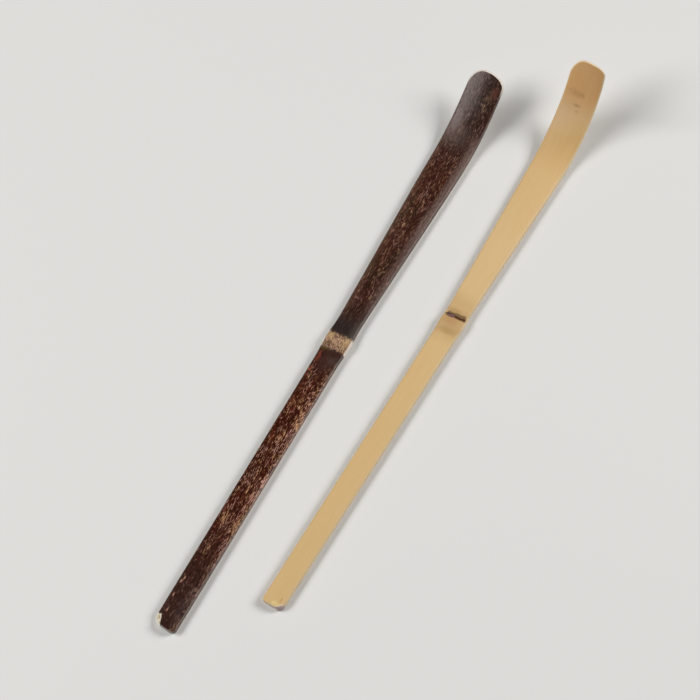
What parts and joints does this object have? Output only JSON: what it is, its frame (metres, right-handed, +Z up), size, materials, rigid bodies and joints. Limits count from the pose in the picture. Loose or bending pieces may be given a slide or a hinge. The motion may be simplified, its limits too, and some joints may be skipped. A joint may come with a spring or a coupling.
{
  "type": "bamboo tea scoops",
  "caption": "Dark and pale bamboo tea scoops lying side by side, each a slim split with a node near mid-length and an upturned rounded tip for measuring powdered tea.",
  "frame": {"origin": "middle of the rectangle on the table that the pair covers", "axes": "+X along the handles from the feet to the tips, +Y to the left seen from the feet, +Z up from the table"},
  "size_m": [0.1899, 0.0346, 0.0225],
  "materials": {
    "dark_bamboo": "natural dark speckled culm skin, satin",
    "pale_bamboo": "bleached pale culm skin, satin"
  },
  "bodies": {
    "pale": {"pale_scoop": "pale_bamboo"},
    "dark": {"dark_scoop": "dark_bamboo"}
  },
  "joints": [
    {"name": "dark_lift", "type": "slide", "parent": "pale", "child": "dark", "axis": [0, 0, 1], "range_m": [0, 0.06]}
  ]
}
